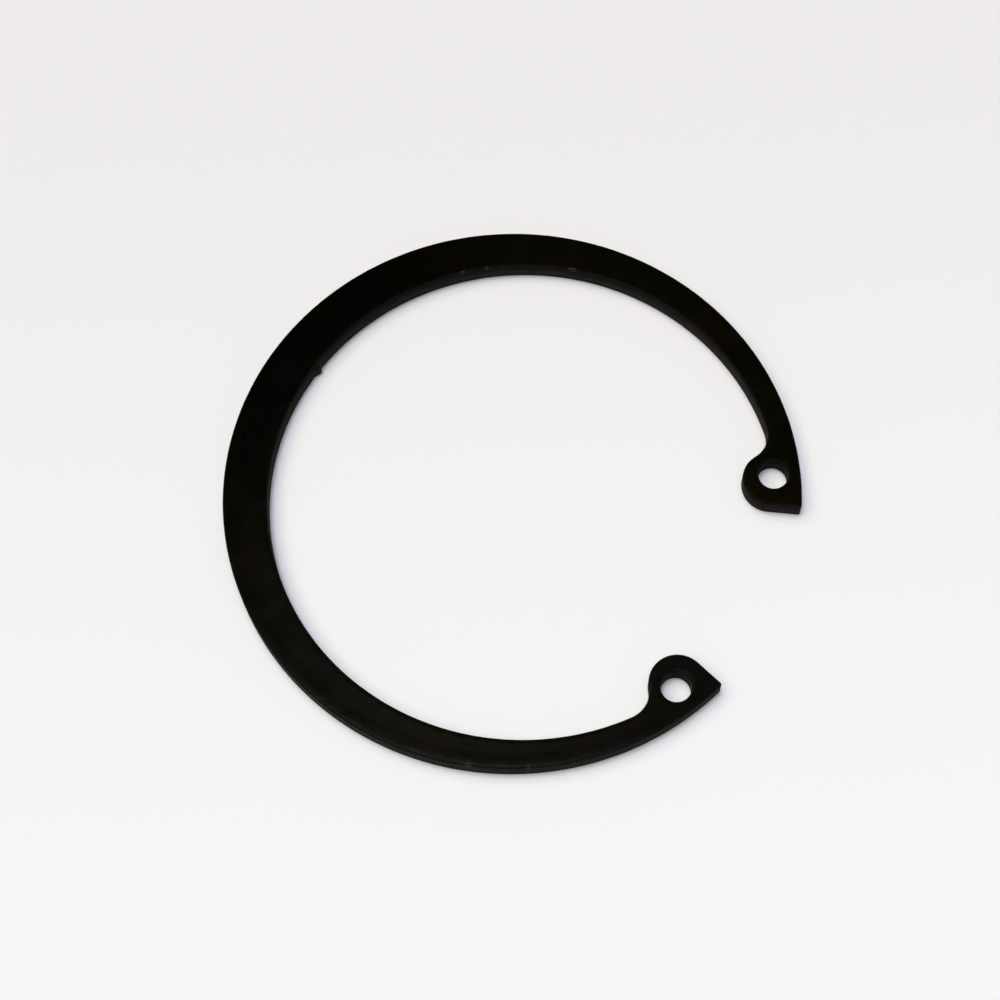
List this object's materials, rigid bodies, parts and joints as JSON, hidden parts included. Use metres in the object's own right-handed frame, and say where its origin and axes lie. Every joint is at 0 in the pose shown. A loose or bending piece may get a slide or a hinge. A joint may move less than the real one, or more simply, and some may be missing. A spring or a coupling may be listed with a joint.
{
  "type": "internal retaining ring",
  "caption": "Flat open spring ring with inward lugs and plier holes, snaps into the groove of a bore to hold a bearing or shaft in place.",
  "frame": {"origin": "middle of the ring's outer circle, on its lower face", "axes": "+Z through the ring's middle from its lower to its upper face, +X from the middle to the gap between the lugs"},
  "size_m": [0.0544, 0.0562, 0.002],
  "materials": {
    "phosphated_steel": "satin"
  },
  "bodies": {
    "root": {"retaining_ring": "phosphated_steel"}
  },
  "joints": []
}
